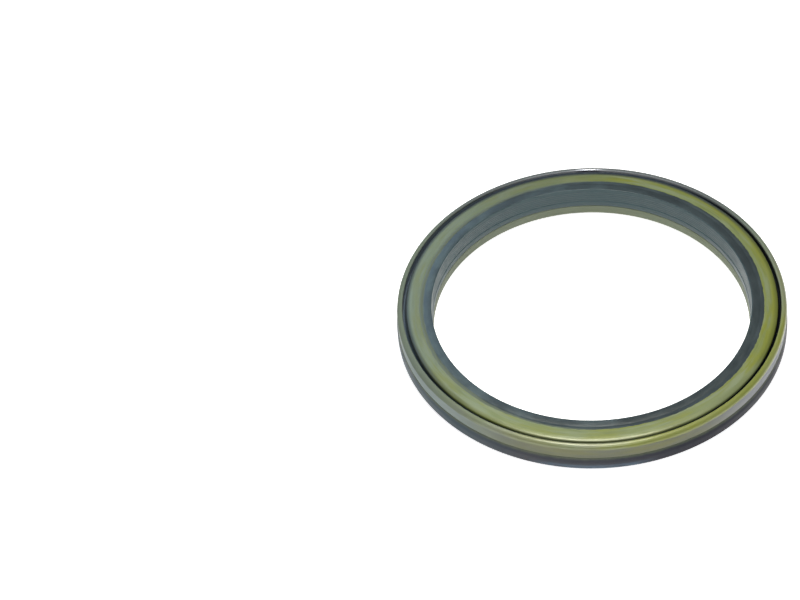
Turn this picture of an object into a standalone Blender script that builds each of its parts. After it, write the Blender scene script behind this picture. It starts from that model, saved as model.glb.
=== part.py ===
"""Cassette oil seal for a 130 mm shaft, modelled in metres with +Z up.

The seal lies on its oil side, with the open side of its case up. A pressed
steel case with a rubber jacket carries the lips, and a flanged sleeve with a
rubber bore turns with the shaft inside it. Z is the axis of the shaft, and
Z = 0 is the plane that the jacket's shoulder rests on.

Every outline below is a section of a turned piece, as corners of
(radius, height, fillet), in millimetres. It runs clockwise, down the outer
side first, and is spun about Z.
"""

import math

import bmesh
import bpy

MILLIMETRE = 0.001
RING_STEPS = 60
SHARP_ANGLE = math.radians(35)

# Overall sizes, in millimetres
SHAFT_DIAMETER = 130.0
RADIAL_SECTION = 15.0
CASE_WIDTH = 15.5
FLANGE_SET_BACK = 0.3

# Clearances
BOND_GAP = 0.3
RUNNING_CLEARANCE = 0.3
END_GAP = 0.6
FLANGE_GAP = 1.25
LIP_HEAD_CLEARANCE = 0.6

# Fillets of edges that aren't named with their piece
EDGE_BREAK = 0.15
SMALL_BEND = 0.3

# A fillet this large gets a point on its arc, and none takes more of an edge than its share
ARC_FROM_RADIUS = 0.48
FILLET_SHARE = 0.9

# Pressed steel case
CASE_SHEET = 1.4
METAL_RELIEF = 0.5
FACE_RECESS = 2.1
CREST_WIDTH = 1.6
CREST_DROP = 0.4
RIM_WIDTH = 2.35
RIM_HEIGHT = 1.4
RIM_ROUNDING = 2.1
CASE_BEND = 0.8
FACE_EDGE_ROUNDING = 0.4

# Rubber jacket on the case
JACKET_WIDTH = 9.4
JACKET_THICKNESS = 1.7
SHOULDER = 3.4
JACKET_TAPER_HEIGHT = 2.5
JACKET_TAPER_DEPTH = 0.45
SHOULDER_ROUNDING = 1.2

# Flanged sleeve
SLEEVE_SHEET = 1.4
END_STAND_OUT = 0.6
END_BAND_HEIGHT = 3.8
FLARE_REACH = 1.6
FLARE_ROUNDING = 0.9
SLEEVE_BEND = 1.2
FLANGE_ROUNDING = 0.9

# Rubber lining of the sleeve
LINING_THICKNESS = 1.1
FACE_RUBBER_THICKNESS = 0.8
FACE_RUBBER_REACH = 5.4
LINING_ROUNDING = 0.2
RIB_COUNT = 6
RIB_PITCH = 1.05
RIB_DEPTH = 0.25
RIB_START = 2.0

# Lip ring
LIP_BASE_THICKNESS = 1.2
WALL_LINING_THICKNESS = 1.1
MOUTH_LINING_THICKNESS = 0.6
DUST_LIP_THICKNESS = 0.6
DUST_LIP_ROOT = 3.0
LIP_FRONT_RISE = 1.8
LIP_HEAD_WIDTH = 3.2
LIP_HEAD_RISE = 2.5
LIP_NECK_WIDTH = 1.3
SIDE_LIP_THICKNESS = 0.7
SIDE_LIP_LEAN = 1.2

# Garter spring
SPRING_COIL_RADIUS = 0.9
SPRING_SIDES = 8
GROOVE_STEPS = 4

# Radii and heights that follow from the sizes above
BORE_RADIUS = SHAFT_DIAMETER / 2
HOUSING_RADIUS = BORE_RADIUS + RADIAL_SECTION
METAL_RADIUS = HOUSING_RADIUS - METAL_RELIEF
JACKET_SEAT_RADIUS = HOUSING_RADIUS - JACKET_THICKNESS - BOND_GAP
CASE_INNER_RADIUS = JACKET_SEAT_RADIUS - CASE_SHEET
MOUTH_RADIUS = METAL_RADIUS - CASE_SHEET
RIM_INNER_RADIUS = METAL_RADIUS - RIM_WIDTH
RECESS_RADIUS = HOUSING_RADIUS - SHOULDER - CREST_WIDTH
CASE_FACE_BACK = FACE_RECESS + CASE_SHEET

FLANGE_RADIUS = RIM_INNER_RADIUS - FLANGE_GAP
FLANGE_TOP = CASE_WIDTH - FLANGE_SET_BACK
FLANGE_BACK = FLANGE_TOP - SLEEVE_SHEET
LINING_SEAT_RADIUS = BORE_RADIUS + LINING_THICKNESS + BOND_GAP
SLEEVE_RADIUS = LINING_SEAT_RADIUS + SLEEVE_SHEET
END_BAND_RADIUS = BORE_RADIUS + SLEEVE_SHEET
FLARE_RADIUS = END_BAND_RADIUS + FLARE_REACH
FACE_SEAT_TOP = FLANGE_TOP - FACE_RUBBER_THICKNESS - BOND_GAP
FACE_SEAT_BACK = FACE_SEAT_TOP - SLEEVE_SHEET
FACE_RUBBER_RADIUS = BORE_RADIUS + FACE_RUBBER_REACH
SLEEVE_FOOT = FACE_RECESS - END_STAND_OUT
BAND_TOP = SLEEVE_FOOT + END_BAND_HEIGHT

# Diagonal offsets, for the 45 degree cones of the case and of the sleeve
CONE_GAP = BOND_GAP * math.sqrt(2)
CONE_SHEET = SLEEVE_SHEET * (math.sqrt(2) - 1)


def fillet_points(before, corner, after):
    """Points of the arc that rounds one corner of an outline."""
    r, z, radius = corner
    to_before = (before[0] - r, before[1] - z)
    to_after = (after[0] - r, after[1] - z)
    length_before = math.hypot(*to_before)
    length_after = math.hypot(*to_after)
    a = (to_before[0] / length_before, to_before[1] / length_before)
    b = (to_after[0] / length_after, to_after[1] / length_after)
    half = math.acos(max(-1.0, min(1.0, a[0] * b[0] + a[1] * b[1]))) / 2
    longest = FILLET_SHARE * min(length_before, length_after)
    setback = min(radius / math.tan(half), longest)
    start = (r + a[0] * setback, z + a[1] * setback)
    end = (r + b[0] * setback, z + b[1] * setback)
    if radius < ARC_FROM_RADIUS:
        return [start, end]
    middle = ((start[0] + end[0]) / 2, (start[1] + end[1]) / 2)
    reach = math.hypot(r - middle[0], z - middle[1])
    arc_radius = setback * math.tan(half)
    sagitta = arc_radius * (1 - math.sin(half))
    share = sagitta / reach
    crown = (middle[0] + (r - middle[0]) * share, middle[1] + (z - middle[1]) * share)
    return [start, crown, end]


def outline_points(corners):
    """The outline with its fillets, as (radius, height) points."""
    points = []
    for index, corner in enumerate(corners):
        if corner[2] == 0:
            points.append(corner[:2])
            continue
        before = corners[index - 1]
        after = corners[(index + 1) % len(corners)]
        points.extend(fillet_points(before, corner, after))
    return points


def material(name, colour, roughness, metallic):
    """A Principled material for one kind of surface."""
    made = bpy.data.materials.new(name)
    made.use_nodes = True
    shader = made.node_tree.nodes["Principled BSDF"]
    shader.inputs["Base Color"].default_value = (*colour, 1.0)
    shader.inputs["Roughness"].default_value = roughness
    shader.inputs["Metallic"].default_value = metallic
    return made


def turned_piece(name, corners, finish, parent):
    """A named ring, spun about Z from its section."""
    form = bmesh.new()
    section = [
        form.verts.new((r * MILLIMETRE, 0.0, z * MILLIMETRE))
        for r, z in outline_points(corners)
    ]
    for index, vertex in enumerate(section):
        form.edges.new((section[index - 1], vertex))
    bmesh.ops.spin(
        form,
        geom=form.verts[:] + form.edges[:],
        cent=(0, 0, 0),
        axis=(0, 0, 1),
        angle=math.tau,
        steps=RING_STEPS,
        use_merge=True,
    )
    bmesh.ops.recalc_face_normals(form, faces=form.faces[:])
    mesh = bpy.data.meshes.new(name)
    form.to_mesh(mesh)
    form.free()
    mesh.shade_smooth()
    mesh.set_sharp_from_angle(angle=SHARP_ANGLE)
    mesh.materials.append(finish)
    piece = bpy.data.objects.new(name, mesh)
    bpy.context.scene.collection.objects.link(piece)
    piece.parent = parent
    return piece


def outer_case_section():
    """Pressed steel case: rim, seat of the jacket, crest, and set-back face."""
    crest_radius = RECESS_RADIUS
    seat_foot = JACKET_SEAT_RADIUS - crest_radius + CREST_DROP
    step_top = JACKET_WIDTH + CASE_SHEET
    rim_foot = CASE_WIDTH - RIM_HEIGHT
    face_edge = FLARE_RADIUS + END_GAP
    return [
        (METAL_RADIUS, CASE_WIDTH, RIM_ROUNDING),
        (METAL_RADIUS, JACKET_WIDTH, EDGE_BREAK),
        (JACKET_SEAT_RADIUS, JACKET_WIDTH, 0),
        (JACKET_SEAT_RADIUS, seat_foot, 0),
        (crest_radius, CREST_DROP, EDGE_BREAK),
        (crest_radius, FACE_RECESS, 0),
        (face_edge, FACE_RECESS, FACE_EDGE_ROUNDING),
        (face_edge, CASE_FACE_BACK, 0),
        (CASE_INNER_RADIUS, CASE_FACE_BACK, CASE_BEND),
        (CASE_INNER_RADIUS, step_top, 0),
        (MOUTH_RADIUS, step_top, 0),
        (MOUTH_RADIUS, rim_foot, 0),
        (RIM_INNER_RADIUS, rim_foot, SMALL_BEND),
        (RIM_INNER_RADIUS, CASE_WIDTH, EDGE_BREAK),
    ]


def outer_jacket_section():
    """Rubber jacket: press-fit band, chamfered shoulder and crest."""
    crest_start = HOUSING_RADIUS - SHOULDER
    inner = JACKET_SEAT_RADIUS + BOND_GAP
    edge = RECESS_RADIUS + BOND_GAP
    top = JACKET_WIDTH - BOND_GAP
    edge_height = edge - RECESS_RADIUS + CREST_DROP - CONE_GAP
    seat_foot = inner - RECESS_RADIUS + CREST_DROP - CONE_GAP
    return [
        (HOUSING_RADIUS - JACKET_TAPER_DEPTH, top, EDGE_BREAK),
        (HOUSING_RADIUS, top - JACKET_TAPER_HEIGHT, SMALL_BEND),
        (HOUSING_RADIUS, SHOULDER, SHOULDER_ROUNDING),
        (crest_start, 0, SMALL_BEND),
        (edge, 0, 0),
        (edge, edge_height, 0),
        (inner, seat_foot, 0),
        (inner, top, 0),
    ]


def inner_sleeve_section():
    """Steel sleeve: flange, joggled wall and flared end."""
    shelf_edge = FACE_RUBBER_RADIUS + BOND_GAP
    joggle = LINING_SEAT_RADIUS - BORE_RADIUS
    shelf_drop = FLANGE_BACK - FACE_SEAT_BACK
    flare_back = SLEEVE_FOOT + SLEEVE_SHEET
    return [
        (FLANGE_RADIUS, FLANGE_TOP, FLANGE_ROUNDING),
        (FLANGE_RADIUS, FLANGE_BACK, 0),
        (shelf_edge + SLEEVE_SHEET + shelf_drop / 2, FLANGE_BACK, 0),
        (shelf_edge + SLEEVE_SHEET - shelf_drop / 2, FACE_SEAT_BACK, 0),
        (SLEEVE_RADIUS, FACE_SEAT_BACK, SLEEVE_BEND),
        (SLEEVE_RADIUS, BAND_TOP + joggle - CONE_SHEET, 0),
        (END_BAND_RADIUS, BAND_TOP - CONE_SHEET, 0),
        (END_BAND_RADIUS, flare_back, SMALL_BEND),
        (FLARE_RADIUS, flare_back, 0),
        (FLARE_RADIUS, SLEEVE_FOOT, FLARE_ROUNDING),
        (BORE_RADIUS, SLEEVE_FOOT, SMALL_BEND),
        (BORE_RADIUS, BAND_TOP, 0),
        (LINING_SEAT_RADIUS, BAND_TOP + joggle, 0),
        (LINING_SEAT_RADIUS, FACE_SEAT_TOP, EDGE_BREAK + BOND_GAP),
        (shelf_edge, FACE_SEAT_TOP, 0),
        (shelf_edge, FLANGE_TOP, EDGE_BREAK),
    ]


def rib_corners():
    """Fine ribs round the rubber bore, from the end band upwards."""
    corners = []
    first = BAND_TOP + RIB_START
    for index in range(RIB_COUNT):
        height = first + index * RIB_PITCH
        corners.append((BORE_RADIUS + RIB_DEPTH, height, 0))
        corners.append((BORE_RADIUS, height + RIB_PITCH / 2, 0))
    corners.append((BORE_RADIUS + RIB_DEPTH, first + RIB_COUNT * RIB_PITCH, 0))
    return corners


def sleeve_lining_section():
    """Rubber of the sleeve's bore, wrapped onto the face of the flange."""
    outer = LINING_SEAT_RADIUS - BOND_GAP
    foot = BAND_TOP + CONE_GAP
    back = FACE_SEAT_TOP + BOND_GAP
    return [
        (FACE_RUBBER_RADIUS, FLANGE_TOP, EDGE_BREAK),
        (FACE_RUBBER_RADIUS, back, 0),
        (outer, back, EDGE_BREAK),
        (outer, foot + LINING_THICKNESS, 0),
        (BORE_RADIUS, foot, 0),
        (BORE_RADIUS, BAND_TOP + RIB_START - RIB_PITCH / 2, 0),
        *rib_corners(),
        (BORE_RADIUS, FLANGE_TOP, LINING_ROUNDING),
    ]


def groove_points(centre_radius, centre_height, radius):
    """The half round groove that the garter spring lies in, from its top down."""
    points = []
    for step in range(GROOVE_STEPS + 1):
        angle = math.pi / 2 + math.pi * step / GROOVE_STEPS
        r = centre_radius + radius * math.cos(angle)
        z = centre_height + radius * math.sin(angle)
        points.append((r, z, 0))
    return points


def lip_places():
    """Where the main lip's edge and its garter spring lie."""
    edge_radius = SLEEVE_RADIUS + RUNNING_CLEARANCE
    edge_height = FACE_SEAT_BACK - LIP_HEAD_CLEARANCE - LIP_HEAD_RISE
    back_radius = edge_radius + LIP_HEAD_WIDTH
    spring_height = edge_height + (SPRING_COIL_RADIUS + BOND_GAP) / 2
    return edge_radius, edge_height, back_radius, spring_height


def lip_ring_section():
    """Rubber inside the case: dust lip, main lip, side lip and the lining of the mouth."""
    base_foot = CASE_FACE_BACK + BOND_GAP
    base_top = base_foot + LIP_BASE_THICKNESS
    wall_outer = CASE_INNER_RADIUS - BOND_GAP
    wall_inner = wall_outer - WALL_LINING_THICKNESS
    mouth_outer = MOUTH_RADIUS - BOND_GAP
    mouth_inner = mouth_outer - MOUTH_LINING_THICKNESS
    mouth_foot = JACKET_WIDTH + CASE_SHEET + BOND_GAP
    mouth_floor = mouth_foot + MOUTH_LINING_THICKNESS
    mouth_top = CASE_WIDTH - RIM_HEIGHT - BOND_GAP
    edge_radius, edge_height, back_radius, spring_height = lip_places()
    head_top = edge_height + LIP_HEAD_RISE
    neck_inner = back_radius - LIP_NECK_WIDTH
    dust_edge = END_BAND_RADIUS + RUNNING_CLEARANCE
    dust_root = dust_edge + DUST_LIP_ROOT
    side_top = FLANGE_BACK - RUNNING_CLEARANCE
    side_outer = wall_outer - SIDE_LIP_LEAN
    groove = SPRING_COIL_RADIUS + BOND_GAP
    return [
        (side_outer, side_top, 0),
        (wall_outer, mouth_floor, 0),
        (mouth_inner, mouth_floor, 0),
        (mouth_inner, mouth_top, 0),
        (mouth_outer, mouth_top, 0),
        (mouth_outer, mouth_foot, 0),
        (wall_outer, mouth_foot, 0),
        (wall_outer, base_foot, CASE_BEND - BOND_GAP),
        (dust_edge, base_foot, 0),
        (dust_edge, base_foot + DUST_LIP_THICKNESS, 0),
        (dust_root, base_top, 0),
        (neck_inner, base_top, 0),
        (neck_inner, edge_height - LIP_FRONT_RISE, 0),
        (edge_radius, edge_height, 0),
        (edge_radius + LIP_FRONT_RISE / 2, head_top, 0),
        (back_radius, head_top, 0),
        *groove_points(back_radius, spring_height, groove),
        (back_radius, base_top, 0),
        (wall_inner, base_top, SMALL_BEND),
        (wall_inner, mouth_foot - LIP_BASE_THICKNESS, 0),
        (side_outer - SIDE_LIP_THICKNESS, side_top, 0),
    ]


def garter_spring_section():
    """The closed coil spring round the main lip, as a plain ring of its coil size."""
    _, _, back_radius, spring_height = lip_places()
    corners = []
    for side in range(SPRING_SIDES):
        angle = -math.tau * (side + 0.5) / SPRING_SIDES
        r = back_radius + SPRING_COIL_RADIUS * math.cos(angle)
        z = spring_height + SPRING_COIL_RADIUS * math.sin(angle)
        corners.append((r, z, 0))
    return corners


def empty(name):
    """A plain parent on the seal's axis, for the pieces that turn together."""
    made = bpy.data.objects.new(name, None)
    bpy.context.scene.collection.objects.link(made)
    return made


def main():
    """Build the seal in an empty scene."""
    for leftover in list(bpy.data.objects):
        bpy.data.objects.remove(leftover)

    lacquer = material("olive lacquered steel", (0.20, 0.24, 0.11), 0.35, 0.35)
    rubber = material("dark nitrile rubber", (0.035, 0.045, 0.06), 0.4, 0.0)
    spring_steel = material("spring steel", (0.45, 0.45, 0.47), 0.3, 1.0)

    case = empty("case_axis")
    sleeve = empty("sleeve_axis")
    turned_piece("outer_case", outer_case_section(), lacquer, case)
    turned_piece("outer_jacket", outer_jacket_section(), rubber, case)
    turned_piece("lip_ring", lip_ring_section(), rubber, case)
    turned_piece("garter_spring", garter_spring_section(), spring_steel, case)
    turned_piece("inner_sleeve", inner_sleeve_section(), lacquer, sleeve)
    turned_piece("sleeve_lining", sleeve_lining_section(), rubber, sleeve)


main()
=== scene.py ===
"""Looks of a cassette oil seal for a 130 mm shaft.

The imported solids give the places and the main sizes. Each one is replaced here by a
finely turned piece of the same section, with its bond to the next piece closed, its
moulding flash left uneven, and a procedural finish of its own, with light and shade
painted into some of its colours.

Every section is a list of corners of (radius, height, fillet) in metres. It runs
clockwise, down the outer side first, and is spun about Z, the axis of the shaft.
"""

import math

import bmesh
import bpy
from bpy.props import FloatProperty, FloatVectorProperty, IntProperty, PointerProperty
from bpy.types import Operator, Panel, PropertyGroup
from mathutils import Matrix, Vector, noise


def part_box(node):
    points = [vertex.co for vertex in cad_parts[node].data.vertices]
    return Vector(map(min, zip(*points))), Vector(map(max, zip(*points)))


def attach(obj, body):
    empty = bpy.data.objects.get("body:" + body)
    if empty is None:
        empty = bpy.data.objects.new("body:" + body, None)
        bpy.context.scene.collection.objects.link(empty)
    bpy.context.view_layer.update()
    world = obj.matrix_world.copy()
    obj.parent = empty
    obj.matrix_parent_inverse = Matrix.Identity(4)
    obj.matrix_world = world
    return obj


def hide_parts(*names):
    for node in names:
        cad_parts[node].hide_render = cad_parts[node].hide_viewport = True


bl_info = {
    "name": "Cassette oil seal",
    "version": (1, 0, 0),
    "blender": (4, 5, 0),
    "location": "View3D > Sidebar > Seal",
    "description": "Builds the finished pieces of a cassette oil seal round its solids",
    "category": "Object",
}

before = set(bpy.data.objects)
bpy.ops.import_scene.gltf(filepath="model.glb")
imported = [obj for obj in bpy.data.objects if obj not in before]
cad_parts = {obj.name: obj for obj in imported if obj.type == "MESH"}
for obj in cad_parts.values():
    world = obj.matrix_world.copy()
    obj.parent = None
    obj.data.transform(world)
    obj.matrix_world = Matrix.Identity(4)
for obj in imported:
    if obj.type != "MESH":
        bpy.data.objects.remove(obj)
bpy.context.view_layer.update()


def around(place, margins):
    """A pair of places, from a place and its two margins."""
    return place + margins[0], place + margins[1]


def widest(node):
    """Outer radius of a packed ring."""
    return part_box(node)[1].x


def narrowest(node):
    """Inner radius of a packed ring."""
    return min(math.hypot(v.co.x, v.co.y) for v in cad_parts[node].data.vertices)


def foot(node):
    """Lowest height of a packed ring."""
    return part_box(node)[0].z


def top(node):
    """Highest height of a packed ring."""
    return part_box(node)[1].z


# The bond between rubber and steel, and how finely the pieces are turned
BOND = 0.00002
TURN_STEPS = 480
FLASH_STEPS = 900
ARC_STEP = math.radians(13)
SHARP_ANGLE = math.radians(34)
FILLET_SHARE = 0.9

# Sides of the seal towards which painted light, shade and reflections are laid on its finishes
PALE_SIDE = (-0.55, 0.83, 0.0)
FAR = (0.0, 1.0, 0.0)
NEAR = (0.0, -1.0, 0.0)
RIGHT = (1.0, 0.0, 0.0)
NEAR_RIGHT = (0.71, -0.71, 0.0)
FAR_RIGHT = (0.95, 0.30, 0.0)
FAR_LEFT = (-0.9, 0.43, 0.0)

# Streaks: their size along the seal's run and across it, and their detail
STREAK_RADIUS = 0.075
PATCHES = (0.0240, 0.0040, 3.0)
MOTTLE = (0.0120, 0.0012, 4.0)
BRUSHING = (0.0260, 0.00035, 2.0)
HAZE = (0.0180, 0.0020, 4.0)
RAGS = (0.0040, 0.0040, 4.0)
SMEARS = (0.0060, 0.0011, 4.0)

# Speckles: their size and their detail
STEEL_GRAIN = (0.0005, 2.0)
LACQUER_WAVES = (0.006, 1.0)
BLOOM_CLOUDS = (0.014, 3.0)
RUBBER_PORES = (0.00035, 2.0)
FILM_WANDER = (0.003, 3.0)
DIE_MARKS = (0.0003, 3.0)

# Margins of the finishes, in metres from the edge of the form that they follow; some of them bound
# painted shade, painted highlights and a painted glint
BAND_RAGS = 0.0011
BAND_FOOT = (0.0004, -0.0001)
BAND_EDGE = (-0.0003, -0.0001)
ABOVE_RIM_FOOT = (-0.0001, 0.0)
CUT_EDGE = (0.00020, 0.00035)
CUT_EDGE_WANDER = 0.00012
GLINT_EDGE = (0.00045, 0.00060)
GLINT_REACH = (0.001, 0.010)
RIM_WALL = (0.0001, 0.0003)
FLANGE_EDGE = (-0.0022, -0.0004)
FLANGE_RUN = (-0.0034, -0.0020)
FLANGE_HIGHLIGHT = (-0.0012, -0.0008)
BORE_EDGE = (0.0003, 0.0008)
JACKET_FILM = (-0.0012, 0.0006)
JACKET_CLEAN = (0.0, 0.001)
JACKET_FOOT_HIGHLIGHT = (0.0062, 0.0042)
FLANGE_FILM = (-0.0004, 0.0005)
BORE_CLEAN = (0.0008, 0.0002)
MOUTH_EDGE = (-0.0006, 0.0)
JACKET_FILM_WANDER = 0.0008
FLANGE_FILM_WANDER = 0.0009
FLANGE_FILM_SPREAD = (0.0013, -0.0006)

# How far towards a side a finish starts to change, and where it has changed in full; most of these lay
# painted light, shade, sheen or reflections on one side
PALE_RIM = (-0.055, 0.005)
GREEN_RIM = (0.048, 0.072)
SLATE_RIM = (0.030, 0.068)
BARE_AND_LIT_CUT_EDGE = (0.058, 0.0765)
GLINT_SIDE = (0.0, 0.01)
SHADED_WALL = (-0.015, -0.050)
BAND_RIGHT = (0.035, 0.065)
BAND_LEFT = (-0.025, -0.065)
SHEEN_FLANGE = (0.030, 0.068)
GREY_FLANGE_SHADE = (0.0, 0.065)
SHADED_RUN_SIDE = (0.035, 0.062)
SHADED_FLANGE = (-0.030, 0.020)
HIGHLIGHTED_FLANGE = (0.066, 0.074)
SHEEN_PATCH = (0.0710, 0.0736)
BLOOM_SPAN = (-0.06, 0.07)
MOUTH_SIDE = (-0.02, 0.05)
GAP_SHADOW = (0.030, 0.060)
DULL_JACKET = (0.0, 0.045)
DULLER_JACKET = (-0.06, -0.02)
SLATE_JACKET = (-0.020, -0.060)
HIGHLIGHTED_JACKET_FOOT = (0.0755, 0.0790)
FILM_SPAN = (-0.075, 0.04)

# Heights of the relief in the finishes
LACQUER_RELIEF = (0.2, 0.0003)
GRAIN_RELIEF = (0.12, 0.00005)
BLOOM_RELIEF = (0.12, 0.0004)
PORE_RELIEF = (0.22, 0.00006)
DIE_RELIEF = (0.15, 0.00003)

# How much light the finishes throw back, and how metallic they are
LACQUER_METAL = 0.2
LACQUER_COAT = 0.7
RIM_COAT = 0.6
COAT_ROUGHNESS = 0.26
LACQUER_SHINE = 0.5
RUBBER_SHINE = 0.65
FILM_SHARE = 0.9

# Colours of small marks in the steel, and of the painted glint on the rim's far corner
BRIGHT_GRAIN = (0.50, 0.52, 0.56)
GLINT_COLOUR = (0.36, 0.37, 0.42)
WIRE_MARKS = (0.25, 0.25, 0.26)

# Steel that both pressings share
SHEET = 0.0014
EDGE_BREAK = 0.00012
SMALL_BEND = 0.0003

# Case
RIM_WIDTH = 0.00235
RIM_HEIGHT = 0.0014
CUT_EDGE_ROUNDING = 0.0005
FACE_RECESS = 0.0021
CREST_DROP = 0.0004
CREST_WIDTH = 0.0016
CASE_BEND = 0.0008
FACE_EDGE_ROUNDING = 0.0004
FACE_INNER_GAP = 0.0006
JACKET_THICKNESS = 0.0020

# Jacket
SHOULDER_ROUNDING = 0.0008
TAPER_HEIGHT = 0.0025
TAPER_DEPTH = 0.00045

# Sleeve
END_BAND_HEIGHT = 0.0038
FLARE_REACH = 0.0016
FLARE_ROUNDING = 0.0009
SLEEVE_BEND = 0.0012
FLANGE_ROUNDING = 0.0007
FLANGE_CROWN = 0.0019
FLANGE_CROWN_DROP = 0.00025
LINING_THICKNESS = 0.0014
FACE_RUBBER_THICKNESS = 0.0011
SHELF_MARGIN = 0.0003
SHELF_INNER_STEP = 0.0012
SHELF_OUTER_STEP = 0.0006
SHELF_STEP_DROP = 0.00008

# Lining
LINING_ROUNDING = 0.0004
LEDGE_HEIGHT = 0.0029
LEDGE_DEPTH = 0.00022
LEDGE_ROUNDING = 0.0003
RIB_START = 0.0039
RIB_PITCH = 0.00105
RIB_POINTS = 6
STEP_INSET = 0.0014
STEP_DEPTH = 0.00005
STEP_WIDTH = 0.00018
FILM_HEIGHT = 0.00002
FILM_START = 0.0004
FILM_BACK = 0.0001
FILM_ROOT = 0.0009
FILM_SINK = 0.00006
FLASH_DEPTH = 0.0002
FLASH_SET = 0.0001
FLASH_WAVES = (0.55, 4.0, 1.0, 2.0, 3)
FLASH_TEETH = (0.45, 34.0, 0.9, 2.1, 4)

# Lips and spring
LIP_BASE = 0.0012
LIP_GAP = 0.0003
WALL_LINING = 0.0011
MOUTH_LINING = 0.0009
DUST_LIP = 0.0006
DUST_LIP_ROOT = 0.0030
LIP_RISE = 0.0018
LIP_HEAD_WIDTH = 0.0032
LIP_HEAD_RISE = 0.0025
LIP_NECK = 0.0013
SIDE_LIP = 0.0007
SIDE_LIP_LEAN = 0.0012
GROOVE_STEPS = 8
COIL_SIDES = 8
COIL_PITCH = 2.6
WIRE_SIDES = 2

# The photograph that the camera repeats
PHOTO_SIZE = (800, 600)
SEAL_PIXEL = (590.8, 320.9)
SENSOR = 36.0
CLIP = (0.05, 20.0)

# Floor, room and lamps: places in metres from the seal's axis
FLOOR_HALF = 3.0
FLOOR_CORNERS = ((-1, -1), (1, -1), (1, 1), (-1, 1))
FLOOR_DROP = 0.00005
FLOOR_COLOUR = (0.85, 0.85, 0.85, 1.0)
FLOOR_GLOW = 0.86
ROOM_COLOUR = (0.95, 0.98, 1.0, 1.0)
ROOM_SPAN = {"From Min": -0.7, "From Max": 0.6, "To Min": 0.26, "To Max": 0.13}
BACK_LAMP = ("back lamp", (0.22, 0.22), (-0.18, 0.40, 0.39), (0.50, 0.76, 1.0))
TOP_LAMP = ("top lamp", (0.20, 0.20), (0.0, -0.03, 0.50), (1.0, 0.97, 0.88))
FRONT_LAMP = ("front lamp", (0.40, 0.16), (0.08, -0.72, 0.84), (0.92, 0.96, 1.0))


def length_setting(name, description, default):
    """A size, in metres, that a user may change."""
    return FloatProperty(name=name, description=description, default=default, unit="LENGTH")


def colour_setting(name, description, default):
    """A colour that a user may change."""
    return FloatVectorProperty(
        name=name, description=description, default=default, subtype="COLOR", min=0.0, max=1.0
    )


def power_setting(name, description, default):
    """A lamp's power, in watts, that a user may change."""
    return FloatProperty(name=name, description=description, default=default, min=0.0)


class SealSizes(PropertyGroup):
    """Sizes of the turned pieces."""

    bore_radius: length_setting(
        "Bore radius", "Half of the shaft's diameter", round(narrowest("sleeve_lining"), 5)
    )
    housing_radius: length_setting(
        "Housing radius",
        "Half of the jacket's press-fit diameter",
        round(widest("outer_jacket"), 5),
    )
    metal_radius: length_setting(
        "Case radius",
        "Outer radius of the bare band of the steel case",
        round(widest("outer_case"), 5),
    )
    case_width: length_setting(
        "Case width",
        "Height of the case's rim above the crest it lies on",
        round(top("outer_case"), 5),
    )
    jacket_width: length_setting(
        "Jacket width",
        "Height at which the rubber jacket ends on the case",
        round(top("outer_jacket"), 5),
    )
    shoulder: length_setting("Shoulder", "Size of the jacket's chamfer on the oil side", 0.0034)
    rim_rounding: length_setting("Rim rounding", "Rounding of the rim's outer edge", 0.0018)
    flange_radius: length_setting(
        "Flange radius", "Outer radius of the sleeve's flange", round(widest("inner_sleeve"), 5)
    )
    flange_top: length_setting(
        "Flange height", "Height of the flange's face", round(top("inner_sleeve"), 5)
    )
    sleeve_foot: length_setting(
        "Sleeve foot",
        "Height of the sleeve's flared end above the crest that the seal lies on",
        round(foot("inner_sleeve"), 5),
    )
    face_rubber_radius: length_setting(
        "Face rubber radius",
        "Radius that the rubber on the flange reaches on average",
        round(widest("sleeve_lining"), 5),
    )
    flash_reach: length_setting(
        "Flash reach", "How far the moulding flash wanders in and out on the flange", 0.00045
    )
    rib_count: IntProperty(
        name="Ribs",
        description="Number of fine ribs in the rubber bore",
        default=5,
    )
    rib_depth: length_setting("Rib depth", "Depth of the fine ribs in the rubber bore", 0.00010)
    coil_radius: length_setting(
        "Spring coil radius", "Outer radius of the garter spring's coil", 0.0009
    )
    wire_radius: length_setting("Spring wire radius", "Half of the spring wire's diameter", 0.0002)


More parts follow.
